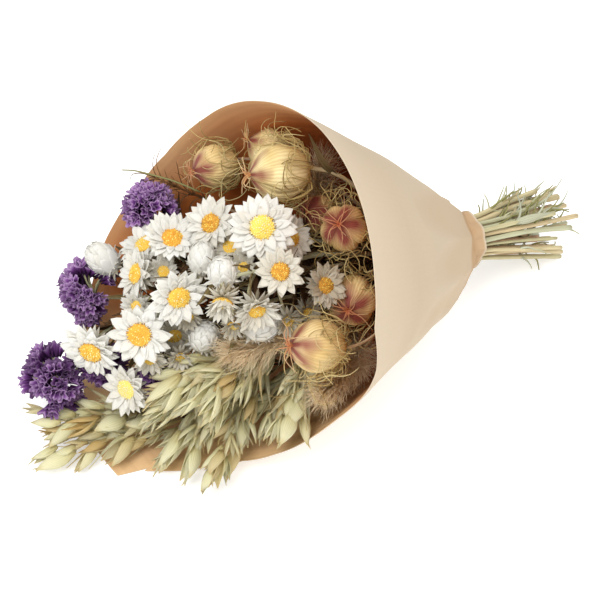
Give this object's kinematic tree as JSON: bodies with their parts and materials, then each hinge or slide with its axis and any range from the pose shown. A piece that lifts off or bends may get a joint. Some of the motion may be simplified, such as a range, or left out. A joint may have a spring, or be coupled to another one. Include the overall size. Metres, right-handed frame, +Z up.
{
  "type": "dried flower bouquet",
  "caption": "Dried bouquet of white everlasting daisies, sea lavender, seed pods and oats in a rolled cone of kraft paper, lying on its side.",
  "frame": {"origin": "the middle of the bouquet's length and width, on the surface that it lies on", "axes": "+X towards the cut stems, along the bouquet; +Y across it, away from the flower heads' display side; +Z up"},
  "size_m": [0.328, 0.1955, 0.1831],
  "materials": {
    "white_petals": "papery, satin, cream-white with fine lengthwise ribs",
    "yellow_florets": "matt, grainy, golden yellow",
    "purple_florets": "papery, matt, deep purple",
    "seed_pod": "dry, satin, straw with maroon ribs",
    "oat_husk": "dry, satin, grey-green straw with fine lengthwise lines",
    "grass_plume": "soft, pinkish taupe bristles",
    "brown_grass": "dry, matt brown threads",
    "stem_straw": "dry, matt, ribbed stems, grey-green to straw",
    "jute_string": "twisted matt twine",
    "kraft_paper": "smooth matt kraft paper, paler outside, faintly ribbed and creased"
  },
  "bodies": {
    "root": {"daisy_01": "white_petals", "daisy_02": "white_petals", "daisy_03": "white_petals", "daisy_04": "white_petals", "daisy_05": "white_petals", "daisy_06": "white_petals", "daisy_07": "white_petals", "daisy_08": "white_petals", "daisy_09": "white_petals", "daisy_10": "white_petals", "daisy_11": "white_petals", "daisy_12": "white_petals", "daisy_13": "white_petals", "daisy_14": "white_petals", "daisy_15": "white_petals", "daisy_01_disc": "yellow_florets", "daisy_02_disc": "yellow_florets", "daisy_03_disc": "yellow_florets", "daisy_04_disc": "yellow_florets", "daisy_05_disc": "yellow_florets", "daisy_06_disc": "yellow_florets", "daisy_07_disc": "yellow_florets", "daisy_08_disc": "yellow_florets", "daisy_09_disc": "yellow_florets", "daisy_10_disc": "yellow_florets", "daisy_11_disc": "yellow_florets", "daisy_12_disc": "yellow_florets", "daisy_13_disc": "yellow_florets", "daisy_14_disc": "yellow_florets", "daisy_15_disc": "yellow_florets", "bud_01": "white_petals", "bud_02": "white_petals", "bud_03": "white_petals", "bud_04": "white_petals", "bud_05": "white_petals", "lavender_01": "purple_florets", "lavender_02": "purple_florets", "lavender_03": "purple_florets", "lavender_04": "purple_florets", "lavender_05": "purple_florets", "pod_01": "seed_pod", "pod_02": "seed_pod", "pod_03": "seed_pod", "pod_04": "seed_pod", "pod_05": "seed_pod", "pod_06": "seed_pod", "pod_07": "seed_pod", "oat_01": "oat_husk", "oat_02": "oat_husk", "oat_03": "oat_husk", "oat_04": "oat_husk", "oat_05": "oat_husk", "oat_06": "oat_husk", "plume_01": "grass_plume", "plume_02": "grass_plume", "plume_03": "grass_plume", "plume_04": "grass_plume", "curled_grass": "brown_grass", "stem_string": "jute_string", "paper_wrap": "kraft_paper"}
  },
  "joints": []
}
